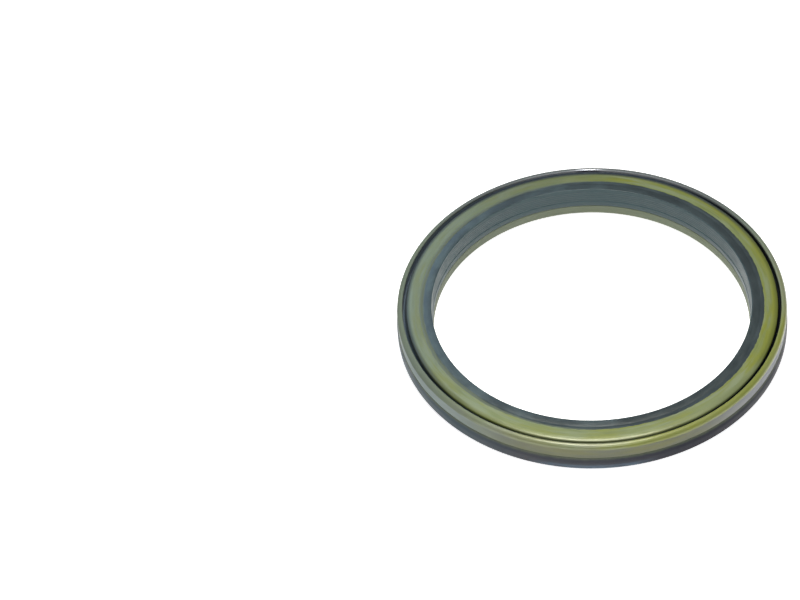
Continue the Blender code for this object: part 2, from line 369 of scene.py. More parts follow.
class SealFinishes(PropertyGroup):
    """Colours of the seal's finishes, some of them laid on as painted light and shade."""

    lacquer: colour_setting("Lacquer", "Olive bonding lacquer on the steel", (0.190, 0.225, 0.070))
    # Also laid by side as painted shading: stronger olive on the rim's near right and on the flange
    # edge's far right
    lacquer_thick_and_shading: colour_setting(
        "Thick lacquer", "The same lacquer where it ran together", (0.195, 0.215, 0.020)
    )
    # Also laid on the flange's near side and in a patch on its near right as a painted sheen
    lacquer_haze_and_sheen: colour_setting(
        "Lacquer haze", "Grey-green bloom on the lacquer", (0.230, 0.270, 0.165)
    )
    # Also laid round the flange's outer edge as painted shade
    lacquer_deep_and_shade: colour_setting(
        "Deep lacquer", "The same lacquer in small dark spots", (0.100, 0.120, 0.020)
    )
    band: colour_setting(
        "Outside band",
        "Lacquer that is rubbed thin on the outside band of the case",
        (0.205, 0.205, 0.118),
    )
    band_pale: colour_setting(
        "Pale outside band",
        "Outside band where the steel shows through most",
        (0.185, 0.190, 0.160),
    )
    # Slate of steel under thin lacquer, laid only on the rim's left and far side as a painted slate
    # reflection
    thin_lacquer_and_reflection: colour_setting(
        "Thin lacquer",
        "Slate colour of the steel under a thin coat of lacquer",
        (0.128, 0.165, 0.146),
    )
    # Painted shade on the flange's edge and on the rim's inner wall, on their dull side
    lacquer_shade: colour_setting(
        "Flange edge",
        "Dull slate of the flange's edge on the side where the lacquer is thin",
        (0.048, 0.062, 0.062),
    )
    # Painted shading: a duller grey-green laid on the flange's face towards the far left
    flange_left_shade: colour_setting(
        "Grey lacquer",
        "Grey-green of the flange's face where the lacquer is duller",
        (0.095, 0.108, 0.066),
    )
    # Worn slate of the rim, laid only on its far side as painted shade
    far_rim_wear_and_shade: colour_setting(
        "Slate rim", "Slate of the rim where the lacquer is rubbed off it", (0.105, 0.115, 0.130)
    )
    # Painted reflection: blue-grey laid on the left of the outside band
    band_left_reflection: colour_setting(
        "Dull outside band", "Blue-grey of the outside band on its dull side", (0.275, 0.335, 0.335)
    )
    # Painted reflection: lavender-grey laid on the right of the outside band
    band_right_reflection: colour_setting(
        "Bare outside band",
        "Lavender-grey of the outside band where it is nearly bare",
        (0.290, 0.300, 0.350),
    )
    # Painted light: laid on the gap's lining only on its left and far side, where light reaches into the
    # gap
    mouth: colour_setting(
        "Mouth lining", "Dark slate rubber that lines the mouth of the case", (0.080, 0.105, 0.135)
    )
    # Painted highlight on the near edge of the flange
    painted_flange_highlight: colour_setting(
        "Bright lacquer", "Pale line on the near edge of the flange", (0.520, 0.540, 0.360)
    )
    lip_shadow: colour_setting(
        "Lip shadow", "Rubber inside the gap, on its darkest side", (0.006, 0.007, 0.009)
    )
    cut_steel: colour_setting("Cut steel", "Bare steel of the rim's cut edge", (0.36, 0.38, 0.41))
    rubber: colour_setting(
        "Rubber", "Nitrile rubber of the jacket, the lining and the lips", (0.022, 0.031, 0.035)
    )
    # Painted reflection: slate laid on the jacket's left side
    jacket_left_reflection: colour_setting(
        "Left jacket", "Dull slate of the jacket on its left side", (0.070, 0.105, 0.128)
    )
    bore_rubber: colour_setting("Bore rubber", "Teal rubber in the bore", (0.040, 0.075, 0.085))
    jacket_rubber: colour_setting(
        "Jacket rubber", "The same rubber where it is clean, on the jacket", (0.024, 0.023, 0.037)
    )
    rubber_bloom: colour_setting(
        "Rubber bloom", "Pale blue-green bloom on the rubber", (0.062, 0.095, 0.105)
    )
    # Painted highlight: blue streaks low on the jacket's near side
    foot_highlight: colour_setting("Smear", "Blue smear on the foot of the jacket", (0.100, 0.150, 0.210))
    bore_band: colour_setting(
        "Bore band", "Dull lacquer on the sleeve's end band, inside the bore", (0.175, 0.200, 0.150)
    )
    rubber_film: colour_setting(
        "Rubber film", "Rubber that is thin enough for the lacquer to show", (0.105, 0.125, 0.080)
    )
    spring_steel: colour_setting(
        "Spring steel", "Drawn wire of the garter spring", (0.46, 0.46, 0.47)
    )


class StageSettings(PropertyGroup):
    """Camera and lamps."""

    distance: length_setting(
        "Camera distance", "From the camera to the middle of the seal's oil side face", 0.925
    )
    elevation: FloatProperty(
        name="Camera elevation",
        description="How steeply the camera looks down",
        default=math.radians(46.73),
        subtype="ANGLE",
    )
    roll: FloatProperty(
        name="Camera roll",
        description="How far the camera leans to its side",
        default=math.radians(-0.71),
        subtype="ANGLE",
    )
    lens: FloatProperty(
        name="Lens",
        description="Focal length in millimetres",
        default=100.3,
    )
    back_power: power_setting("Back lamp", "Pale blue lamp behind the seal, on the left", 0.36)
    top_power: power_setting("Top lamp", "Lamp above the seal", 2.3)
    front_power: power_setting("Front lamp", "Lamp behind the camera", 3.0)


class Finish:
    """A material that is put together node by node."""

    def __init__(self, name):
        self.material = bpy.data.materials.new(name)
        self.material.use_nodes = True
        self.tree = self.material.node_tree
        self.shader = self.tree.nodes["Principled BSDF"]
        self.place = self.add("ShaderNodeTexCoord").outputs["Object"]

    def add(self, kind, values=None, **settings):
        """A node with its settings, and with its inputs set or linked."""
        made = self.tree.nodes.new(kind)
        for key, value in settings.items():
            setattr(made, key, value)
        for key, value in (values or {}).items():
            self.put(made.inputs[key], value)
        return made

    def put(self, socket, value):
        """Link an output to a socket, or set the socket's own value."""
        if isinstance(value, bpy.types.NodeSocket):
            self.tree.links.new(value, socket)
        elif hasattr(value, "__len__") and len(value) == 3 and socket.type == "RGBA":
            socket.default_value = (*value, 1.0)
        else:
            socket.default_value = value

    def shade(self, **values):
        """Set or link the shader's inputs, named with underscores."""
        for key, value in values.items():
            self.put(self.shader.inputs[key.replace("_", " ")], value)

    def speckle(self, size, detail):
        """Noise from 0 to 1 whose features measure about size, in metres."""
        values = {"Vector": self.place, "Scale": 1.0 / size, "Detail": detail, "Roughness": 0.55}
        return self.add("ShaderNodeTexNoise", values).outputs["Fac"]

    def streak(self, along, across, detail):
        """Noise whose features run round the seal, in metres along and across their run."""
        unit = self.vector("NORMALIZE", {0: self.flat()})
        spread = self.vector("SCALE", {0: unit, "Scale": STREAK_RADIUS / along})
        parts = self.add("ShaderNodeSeparateXYZ", {"Vector": spread})
        run = self.times(self.plus(self.radius(), self.height()), 1.0 / across)
        values = {"X": parts.outputs["X"], "Y": parts.outputs["Y"], "Z": run}
        place = self.add("ShaderNodeCombineXYZ", values).outputs[0]
        values = {"Vector": place, "Scale": 1.0, "Detail": detail}
        return self.add("ShaderNodeTexNoise", values).outputs["Fac"]

    def ramp(self, value, low, high, to_low=0.0, to_high=1.0):
        """The value between low and high, smoothly spread from to_low to to_high."""
        values = {"Value": value, "From Min": low, "From Max": high, "To Min": to_low, "To Max": to_high}
        spread = self.add("ShaderNodeMapRange", values, interpolation_type="SMOOTHSTEP")
        return spread.outputs["Result"]

    def math(self, operation, a, b=0.0):
        """Arithmetic on two numbers."""
        made = self.add("ShaderNodeMath", operation=operation)
        self.put(made.inputs[0], a)
        self.put(made.inputs[1], b)
        return made.outputs[0]

    def vector(self, operation, values, output="Vector"):
        """Arithmetic on places."""
        return self.add("ShaderNodeVectorMath", values, operation=operation).outputs[output]

    def plus(self, a, b):
        """Sum of two numbers."""
        return self.math("ADD", a, b)

    def times(self, a, b):
        """Product of two numbers."""
        return self.math("MULTIPLY", a, b)

    def larger(self, a, b):
        """The larger of two numbers."""
        return self.math("MAXIMUM", a, b)

    def layers(self, colour, *coats):
        """A colour under coats, each given as its share and its colour."""
        for share, coat in coats:
            colour = self.mix(share, colour, coat)
        return colour

    def mix(self, share, a, b):
        """Colour a, and colour b by its share."""
        made = self.add("ShaderNodeMix", data_type="RGBA")
        self.put(made.inputs[0], share)
        self.put(made.inputs[6], a)
        self.put(made.inputs[7], b)
        return made.outputs[2]

    def height(self):
        """Height on the seal, in metres."""
        return self.add("ShaderNodeSeparateXYZ", {"Vector": self.place}).outputs["Z"]

    def towards(self, direction):
        """How far a place lies in a direction from the seal's axis, in metres."""
        return self.vector("DOT_PRODUCT", {0: self.place, 1: direction}, "Value")

    def side(self, direction, start, full, most=1.0):
        """A share that grows up to most towards a side of the seal, from start to full."""
        return self.ramp(self.towards(direction), start, full, 0.0, most)

    def flat(self):
        """Place on the seal with its height left out."""
        return self.vector("MULTIPLY", {0: self.place, 1: (1.0, 1.0, 0.0)})

    def radius(self):
        """Distance from the seal's axis, in metres."""
        return self.vector("LENGTH", {0: self.flat()}, "Value")

    def beyond(self, start, full):
        """A share that grows to 1 from one radius to another."""
        return self.ramp(self.radius(), start, full)

    def within(self, full, start):
        """A share that falls from 1 to 0 from one radius to another."""
        return self.ramp(self.radius(), full, start, 1.0, 0.0)

    def bump(self, height, strength, distance, under=None):
        """Relief from a height field, over another relief."""
        values = {"Height": height, "Strength": strength, "Distance": distance}
        if under:
            values["Normal"] = under
        return self.add("ShaderNodeBump", values).outputs["Normal"]


def lacquered_steel(name, finishes, rim=None, sleeve=None):
    """Olive lacquer on pressed steel.

    A rim is given as its inner radius, its foot and the radius of its outside band, and
    a sleeve as its bore radius and its flange radius.
    """
    made = Finish(name)
    patches = made.streak(*PATCHES)
    mottle = made.streak(*MOTTLE)
    brushing = made.streak(*BRUSHING)
    grain = made.speckle(*STEEL_GRAIN)
    thick = made.ramp(made.plus(patches, made.times(mottle, 0.5)), 0.62, 0.90)
    colour = made.layers(
        finishes.lacquer,
        (thick, finishes.lacquer_thick_and_shading),
        (made.ramp(made.streak(*HAZE), 0.42, 0.68, 0.0, 0.75), finishes.lacquer_haze_and_sheen),
        (made.ramp(mottle, 0.30, 0.48, 0.35, 0.0), finishes.lacquer_deep_and_shade),
        (made.ramp(brushing, 0.35, 0.75, 0.0, 0.22), finishes.lacquer_haze_and_sheen),
    )
    rough = made.ramp(made.plus(mottle, patches), 0.7, 1.3, 0.34, 0.48)
    if rim:
        look = worn_and_lit_rim(made, finishes, rim, (patches, mottle, grain), colour, rough)
    else:
        look = sleeve_lacquer(made, finishes, sleeve, colour, rough)
    waves = made.bump(made.speckle(*LACQUER_WAVES), *LACQUER_RELIEF)
    relief = made.bump(made.plus(grain, brushing), *GRAIN_RELIEF, waves)
    made.shade(Normal=relief, Coat_Roughness=COAT_ROUGHNESS, Coat_Normal=waves, **look)
    return made.material


def rubbed_and_lit_lacquer(made, finishes, colour, band, pale_side, noises):
    """Lacquer of the case, rubbed thin in patches and on the outside band, with painted shading and
    reflections laid on by side.
    """
    patches, mottle = noises
    # Painted shading: the rim's near right gets a stronger olive and fewer pale patches
    green_side = made.side(NEAR_RIGHT, *GREEN_RIM)
    rubbed = made.mix(made.ramp(patches, 0.35, 0.65), finishes.band, finishes.band_pale)
    pale_kept = made.ramp(green_side, 0.0, 1.0, 1.0, 0.1)
    patchy = made.times(made.ramp(mottle, 0.25, 0.75, 0.2, 0.7), pale_kept)
    return made.layers(
        colour,
        (made.times(green_side, 0.6), finishes.lacquer_thick_and_shading),
        (made.larger(made.times(band, 0.85), patchy), rubbed),
        # Painted reflection: slate on the rim's left and far side, over its thin lacquer
        (made.times(pale_side, 0.75), finishes.thin_lacquer_and_reflection),
        # Worn slate laid on the far side as painted shade
        (made.side(FAR, *SLATE_RIM, 0.8), finishes.far_rim_wear_and_shade),
        # Painted reflections on the outside band, lavender-grey on the right and blue-grey on the left
        (made.times(band, made.side(RIGHT, *BAND_RIGHT, 0.8)), finishes.band_right_reflection),
        (made.times(band, made.side(RIGHT, *BAND_LEFT, 0.8)), finishes.band_left_reflection),
    )


def worn_and_lit_rim(made, finishes, rim, noises, colour, rough):
    """Look of the case: bare cut edge painted lighter on the far side, a painted glint at the far
    corner, painted shade on the inner wall, and a dull band.
    """
    inner, rim_foot, outer = rim
    patches, mottle, grain = noises
    pale_side = made.side(PALE_SIDE, *PALE_RIM)
    ragged = made.times(made.streak(*RAGS), BAND_RAGS)
    low = made.ramp(made.plus(made.height(), ragged), *around(rim_foot, BAND_FOOT))
    band = made.times(low, made.beyond(*around(outer, BAND_EDGE)))
    above = made.ramp(made.height(), *around(rim_foot, ABOVE_RIM_FOOT))
    edge = made.plus(made.radius(), made.times(mottle, CUT_EDGE_WANDER))
    cut = made.times(made.ramp(edge, *around(inner, CUT_EDGE), 1.0, 0.0), above)
    # Bare steel of the cut edge, laid more strongly towards the far side as painted light
    bare = made.times(cut, made.ramp(made.towards(FAR), *BARE_AND_LIT_CUT_EDGE, 0.08, 0.4))
    steel = made.mix(made.ramp(grain, 0.35, 0.65), finishes.cut_steel, BRIGHT_GRAIN)
    # Painted glint: a bright metallic patch on the rim's inner corner, on its far side near the middle
    corner = made.times(made.within(*around(inner, GLINT_EDGE)), above)
    corner = made.times(corner, made.side(FAR, *GLINT_SIDE))
    sideways = made.math("ABSOLUTE", made.towards(RIGHT))
    corner = made.times(corner, made.ramp(sideways, *GLINT_REACH, 1.0, 0.0))
    # Painted shade on the rim's inner wall, towards the left
    wall = made.within(*around(inner, RIM_WALL))
    wall = made.times(wall, made.side(RIGHT, *SHADED_WALL, 0.6))
    colour = rubbed_and_lit_lacquer(made, finishes, colour, band, pale_side, (patches, mottle))
    colour = made.layers(
        colour,
        (bare, steel),
        (corner, GLINT_COLOUR),
        (made.times(wall, above), finishes.lacquer_shade),
    )
    rough = made.plus(rough, made.times(pale_side, made.ramp(band, 0.0, 1.0, 0.35, 0.05)))
    rough = made.math("SUBTRACT", rough, made.times(corner, 0.50))
    rough = made.plus(rough, made.times(band, 0.12))
    uncoated = made.larger(band, made.times(pale_side, 0.8))
    dull = made.larger(band, made.times(pale_side, 0.9))
    return {
        "Base_Color": colour,
        "Roughness": rough,
        "Metallic": made.ramp(corner, 0.0, 1.0, 0.1, 0.9),
        "Coat_Weight": made.ramp(uncoated, 0.0, 1.0, RIM_COAT, 0.0),
        "Specular_IOR_Level": made.ramp(dull, 0.0, 1.0, LACQUER_SHINE, 0.22),
    }


def sleeve_lacquer(made, finishes, sleeve, colour, rough):
    """Look of the sleeve: painted shade, sheen and a near highlight on the flange, thick lacquer at its
    edge shown only on the far right as shading, and dull in the bore.
    """
    bore, flange = sleeve
    # Painted shade: the flange's outer edge is darkened all round, and more on its dull side
    edge = made.beyond(*around(flange, FLANGE_EDGE))
    # Lacquer run thick at the flange's edge, laid only on its far right as painted shading
    run = made.beyond(*around(flange, FLANGE_RUN))
    run = made.times(run, made.side(FAR_RIGHT, *SHADED_RUN_SIDE, 0.75))
    shade = made.times(edge, made.side(PALE_SIDE, *SHADED_FLANGE))
    # Painted highlight: a pale line on the flange's near edge
    flange_highlight = made.beyond(*around(flange, FLANGE_HIGHLIGHT))
    flange_highlight = made.times(flange_highlight, made.side(NEAR, *HIGHLIGHTED_FLANGE, 0.25))
    inside = made.within(*around(bore, BORE_EDGE))
    uncoated = made.larger(inside, made.times(shade, 0.8))
    colour = made.layers(
        colour,
        # Painted sheen on the near side of the flange
        (made.side(NEAR, *SHEEN_FLANGE, 0.2), finishes.lacquer_haze_and_sheen),
        # Painted shading: duller grey-green towards the far left
        (made.side(FAR_LEFT, *GREY_FLANGE_SHADE, 0.6), finishes.flange_left_shade),
        (run, finishes.lacquer_thick_and_shading),
        (made.times(edge, 0.75), finishes.lacquer_deep_and_shade),
        (shade, finishes.lacquer_shade),
        (flange_highlight, finishes.painted_flange_highlight),
        # Painted sheen: a pale patch on the flange's near right
        (made.side(NEAR_RIGHT, *SHEEN_PATCH, 0.35), finishes.lacquer_haze_and_sheen),
        (made.times(inside, 0.9), finishes.bore_band),
    )
    return {
        "Base_Color": colour,
        "Roughness": made.plus(rough, made.times(inside, 0.2)),
        "Metallic": LACQUER_METAL,
        "Coat_Weight": made.ramp(uncoated, 0.0, 1.0, LACQUER_COAT, 0.0),
        "Specular_IOR_Level": made.ramp(inside, 0.0, 1.0, LACQUER_SHINE, 0.2),
    }


def moulded_rubber(name, finishes, clean=None, highlight_heights=None, thin=None, film=None, mouth=None):
    """Nitrile rubber with its bloom, which is painted fainter towards the right as shade.

    It is cleaner within the radii of clean, and there it has the jacket's finish if
    highlight_heights is given, the heights of the jacket's painted foot highlight. The lacquer
    shows through above the heights of thin and beyond the radii of film, and mouth gives the
    radii of the gap's lining, which is painted lighter on its left and far side and painted
    with shadow on its right.
    """
    made = Finish(name)
    clouds = made.speckle(*BLOOM_CLOUDS)
    smears = made.streak(*SMEARS)
    pores = made.speckle(*RUBBER_PORES)
    bloom = made.ramp(made.plus(clouds, made.times(smears, 0.4)), 0.52, 0.92, 0.1, 0.8)
    # Painted shade: the bloom fades towards the right
    bloom = made.times(bloom, made.ramp(made.towards(RIGHT), *BLOOM_SPAN, 1.0, 0.2))
    colour = made.mix(bloom, finishes.rubber, finishes.rubber_bloom)
    rough = made.ramp(made.plus(clouds, smears), 0.7, 1.3, 0.28, 0.42)
    shine = RUBBER_SHINE
    if clean:
        share = made.beyond(*clean)
        rough = made.plus(rough, made.times(share, 0.12))
        worked = finishes.jacket_rubber if highlight_heights else finishes.bore_rubber
        colour = made.mix(made.times(share, 0.8), colour, worked)
        shine = made.ramp(share, 0.0, 1.0, RUBBER_SHINE, 0.38)
    if highlight_heights:
        colour, shine = lit_jacket(made, finishes, share, (smears, highlight_heights), colour)
    if mouth:
        # Painted light: the gap's lining is paler on its left and far side; the lip shadow on its right
        # is painted shade
        lining = made.times(made.side(PALE_SIDE, *MOUTH_SIDE), made.beyond(*mouth))
        shadow = made.side(RIGHT, *GAP_SHADOW, 0.85)
        colour = made.layers(colour, (lining, finishes.mouth), (shadow, finishes.lip_shadow))
        shine = made.ramp(shadow, 0.0, 0.85, RUBBER_SHINE, 0.10)
    if thin:
        wander = made.times(made.speckle(*FILM_WANDER), JACKET_FILM_WANDER)
        share = made.ramp(made.plus(made.height(), wander), *thin, 0.0, FILM_SHARE)
        colour = made.mix(share, colour, finishes.rubber_film)
    if film:
        spread = made.ramp(made.towards(RIGHT), *FILM_SPAN, *FLANGE_FILM_SPREAD)
        spread = made.plus(made.times(smears, FLANGE_FILM_WANDER), spread)
        share = made.ramp(made.plus(made.radius(), spread), *film, 0.0, FILM_SHARE)
        colour = made.mix(share, colour, finishes.rubber_film)
    waves = made.bump(clouds, *BLOOM_RELIEF)
    relief = made.bump(made.plus(pores, made.times(smears, 0.8)), *PORE_RELIEF, waves)
    made.shade(Base_Color=colour, Roughness=rough, Normal=relief, Specular_IOR_Level=shine)
    return made.material


def lit_jacket(made, finishes, share, marks, colour):
    """Colour and shine of the jacket: dull, a painted slate reflection on the left, and a painted
    highlight on its near foot.
    """
    smears, heights = marks
    dull = made.ramp(made.towards(RIGHT), *DULL_JACKET, 0.28, 0.10)
    dull = made.times(dull, made.ramp(made.towards(RIGHT), *DULLER_JACKET, 0.35, 1.0))
    shine = made.plus(made.times(share, dull), made.ramp(share, 0.0, 1.0, RUBBER_SHINE, 0.0))
    # Painted reflection: slate on the jacket's left side
    slate = made.times(share, made.side(RIGHT, *SLATE_JACKET, 0.75))
    low = made.ramp(made.height(), *heights)
    # Painted highlight: blue streaks low on the jacket's near side
    foot_highlight = made.times(low, made.ramp(smears, 0.30, 0.60, 0.3, 0.9))
    foot_highlight = made.times(foot_highlight, made.side(NEAR, *HIGHLIGHTED_JACKET_FOOT))
    return made.layers(colour, (slate, finishes.jacket_left_reflection), (foot_highlight, finishes.foot_highlight)), shine


def drawn_wire(name, finishes):
    """Bright drawn spring wire with fine marks of the die."""
    made = Finish(name)
    marks = made.speckle(*DIE_MARKS)
    colour = made.mix(made.ramp(marks, 0.3, 0.7), WIRE_MARKS, finishes.spring_steel)
    rough = made.ramp(marks, 0.3, 0.7, 0.2, 0.38)
    relief = made.bump(marks, *DIE_RELIEF)
    made.shade(Base_Color=colour, Roughness=rough, Metallic=1.0, Normal=relief)
    return made.material


def arc_points(before, corner, after):
    """The arc that rounds one corner of a section."""
    here = Vector(corner[:2])
    to_before = Vector(before[:2]) - here
    to_after = Vector(after[:2]) - here
    a = to_before.normalized()
    b = to_after.normalized()
    half = a.angle(b) / 2
    longest = FILLET_SHARE * min(to_before.length, to_after.length)
    setback = min(corner[2] / math.tan(half), longest)
    radius = setback * math.tan(half)
    centre = here + (a + b).normalized() * (radius / math.sin(half))
    start = here + a * setback - centre
    sweep = math.pi - 2 * half
    turn = 1.0 if a.cross(b) < 0 else -1.0
    steps = max(2, math.ceil(sweep / ARC_STEP))
    points = []
    for step in range(steps + 1):
        angle = turn * sweep * step / steps
        spoke = Matrix.Rotation(angle, 2) @ start
        points.append(centre + spoke)
    return points


def rounded(corners):
    """The section's points, with its corners rounded by their fillets."""
    points = []
    for index, corner in enumerate(corners):
        if corner[2] == 0:
            points.append(Vector(corner[:2]))
            continue
        before = corners[index - 1]
        after = corners[(index + 1) % len(corners)]
        points.extend(arc_points(before, corner, after))
    return points


def turned(name, corners, steps=TURN_STEPS, shape=None):
    """A ring spun about Z from its section, with its points moved by shape if there is one."""
    form = bmesh.new()
    section = [Vector((p.x, 0.0, p.y)) for p in rounded(corners)]
    rings = []
    for step in range(steps):
        spin = Matrix.Rotation(math.tau * step / steps, 3, "Z")
        rings.append([form.verts.new(spin @ point) for point in section])
    for ring, following in zip(rings, rings[1:] + rings[:1]):
        for index in range(len(section)):
            form.faces.new((ring[index - 1], ring[index], following[index], following[index - 1]))
    if shape:
        for vertex in form.verts:
            shape(vertex.co)
    mesh = bpy.data.meshes.new(name)
    form.to_mesh(mesh)
    form.free()
    mesh.shade_smooth()
    mesh.set_sharp_from_angle(angle=SHARP_ANGLE)
    piece = bpy.data.objects.new(name, mesh)
    bpy.context.scene.collection.objects.link(piece)
    return piece


def dress(piece, finish, body, node):
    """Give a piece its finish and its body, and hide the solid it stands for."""
    piece.data.materials.append(finish)
    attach(piece, body)
    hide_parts(node)


def case_section(s):
    """Steel case: rim, bare band, seat of the jacket, crest and set-back face."""
    seat = s.housing_radius - JACKET_THICKNESS
    wall = seat - SHEET
    crest = s.housing_radius - s.shoulder - CREST_WIDTH
    seat_foot = seat - crest + CREST_DROP
    band_foot = s.jacket_width + BOND
    step_top = band_foot + SHEET
    rim_inner = s.metal_radius - RIM_WIDTH
    rim_foot = s.case_width - RIM_HEIGHT
    face_edge = s.bore_radius + SHEET + FLARE_REACH + FACE_INNER_GAP
    face_back = FACE_RECESS + SHEET
    return [
        (s.metal_radius, s.case_width, s.rim_rounding),
        (s.metal_radius, band_foot, EDGE_BREAK),
        (seat, band_foot, 0),
        (seat, seat_foot, 0),
        (crest, CREST_DROP, EDGE_BREAK),
        (crest, FACE_RECESS, SMALL_BEND),
        (face_edge, FACE_RECESS, FACE_EDGE_ROUNDING),
        (face_edge, face_back, EDGE_BREAK),
        (wall, face_back, CASE_BEND),
        (wall, step_top, 0),
        (s.metal_radius - SHEET, step_top, 0),
        (s.metal_radius - SHEET, rim_foot, 0),
        (rim_inner, rim_foot, SMALL_BEND),
        (rim_inner, s.case_width, CUT_EDGE_ROUNDING),
    ]


def jacket_section(s):
    """Rubber jacket: press-fit band with a tapered edge, chamfered shoulder and crest."""
    seat = s.housing_radius - JACKET_THICKNESS + BOND
    crest = s.housing_radius - s.shoulder - CREST_WIDTH + BOND
    drop = CREST_DROP - BOND
    return [
        (s.housing_radius - TAPER_DEPTH, s.jacket_width, EDGE_BREAK),
        (s.housing_radius, s.jacket_width - TAPER_HEIGHT, SMALL_BEND),
        (s.housing_radius, s.shoulder, SHOULDER_ROUNDING),
        (s.housing_radius - s.shoulder, 0, SMALL_BEND),
        (crest, 0, EDGE_BREAK),
        (crest, drop, 0),
        (seat, seat - crest + drop, 0),
        (seat, s.jacket_width, 0),
    ]


def sleeve_section(s):
    """Steel sleeve: flange, joggled wall and flared end."""
    flange_back = s.flange_top - SHEET
    shelf = s.face_rubber_radius + SHELF_MARGIN
    shelf_top = s.flange_top - FACE_RUBBER_THICKNESS
    shelf_back = shelf_top - SHEET
    drop = flange_back - shelf_back
    seat = s.bore_radius + LINING_THICKNESS
    band_top = s.sleeve_foot + END_BAND_HEIGHT
    flare = s.bore_radius + SHEET + FLARE_REACH
    cone = SHEET * (math.sqrt(2) - 1)
    flare_back = s.sleeve_foot + SHEET
    return [
        (s.flange_radius - FLANGE_CROWN, s.flange_top, FLANGE_CROWN),
        (s.flange_radius, s.flange_top - FLANGE_CROWN_DROP, FLANGE_ROUNDING),
        (s.flange_radius, flange_back, EDGE_BREAK),
        (shelf + SHEET + drop / 2, flange_back, SMALL_BEND),
        (shelf + SHEET - drop / 2, shelf_back, SMALL_BEND),
        (seat + SHEET, shelf_back, SLEEVE_BEND),
        (seat + SHEET, band_top + LINING_THICKNESS - cone, SMALL_BEND),
        (s.bore_radius + SHEET, band_top - cone, SMALL_BEND),
        (s.bore_radius + SHEET, flare_back, SMALL_BEND),
        (flare, flare_back, EDGE_BREAK),
        (flare, s.sleeve_foot, FLARE_ROUNDING),
        (s.bore_radius, s.sleeve_foot, SMALL_BEND),
        (s.bore_radius, band_top, SMALL_BEND),
        (seat, band_top + LINING_THICKNESS, SMALL_BEND),
        (seat, shelf_top, EDGE_BREAK + SMALL_BEND),
        (shelf - SHELF_INNER_STEP, shelf_top, 0),
        (shelf - SHELF_INNER_STEP, s.flange_top - SHELF_STEP_DROP, 0),
        (shelf - SHELF_OUTER_STEP, s.flange_top, EDGE_BREAK),
    ]


def rib_points(s):
    """Fine rounded ribs round the rubber bore, from the ledge upwards."""
    points = []
    first = s.sleeve_foot + END_BAND_HEIGHT + RIB_START - RIB_PITCH / 2
    for index in range(s.rib_count * RIB_POINTS + 1):
        turn = math.tau * index / RIB_POINTS
        radius = s.bore_radius + LEDGE_DEPTH - s.rib_depth * (0.5 - 0.5 * math.cos(turn))
        points.append((radius, first + RIB_PITCH * index / RIB_POINTS, 0))
    return points


def lining_section(s):
    """Rubber of the sleeve's bore, wrapped onto the face of the flange."""
    outer = s.bore_radius + LINING_THICKNESS - BOND
    band_top = s.sleeve_foot + END_BAND_HEIGHT + BOND
    back = s.flange_top - FACE_RUBBER_THICKNESS + BOND
    reach = s.face_rubber_radius
    step = reach - STEP_INSET
    film = s.flange_top + FILM_HEIGHT
    under_film = s.flange_top - FILM_SINK
    return [
        (reach, film, 0),
        (reach - FILM_BACK, under_film, 0),
        (reach - FILM_ROOT, under_film, 0),
        (reach - FILM_ROOT, back, 0),
        (outer, back, EDGE_BREAK + SMALL_BEND),
        (outer, band_top + LINING_THICKNESS, 0),
        (s.bore_radius, band_top, SMALL_BEND),
        (s.bore_radius, band_top + LEDGE_HEIGHT, LEDGE_ROUNDING),
        (s.bore_radius + LEDGE_DEPTH, band_top + LEDGE_HEIGHT + LEDGE_DEPTH, LEDGE_ROUNDING),
        *rib_points(s),
        (s.bore_radius + LEDGE_DEPTH, s.flange_top, LINING_ROUNDING),
        (step - STEP_WIDTH * 2, s.flange_top, 0),
        (step - STEP_WIDTH, s.flange_top - STEP_DEPTH, 0),
        (step, s.flange_top, 0),
        (reach - FILM_START, film, 0),
    ]


def wave(along, part):
    """Uneven waves round the seal, given as their size, number, roughness and detail."""
    size, number, *octaves = part
    return size * noise.fractal(along * number, *octaves)


def flash_shape(s):
    """Moves the points of the face rubber's edge in and out round the flange."""
    start = s.face_rubber_radius - STEP_INSET
    span = s.face_rubber_radius - start

    def shape(co):
        radius = math.hypot(co.x, co.y)
        if radius <= start or co.z < s.flange_top - FLASH_DEPTH:
            return
        share = (radius - start) / span
        along = Vector((co.x / radius, co.y / radius, 0.0))
        move = s.flash_reach * (wave(along, FLASH_WAVES) + wave(along, FLASH_TEETH)) - FLASH_SET
        grown = radius + share * share * move
        co.x *= grown / radius
        co.y *= grown / radius

    return shape


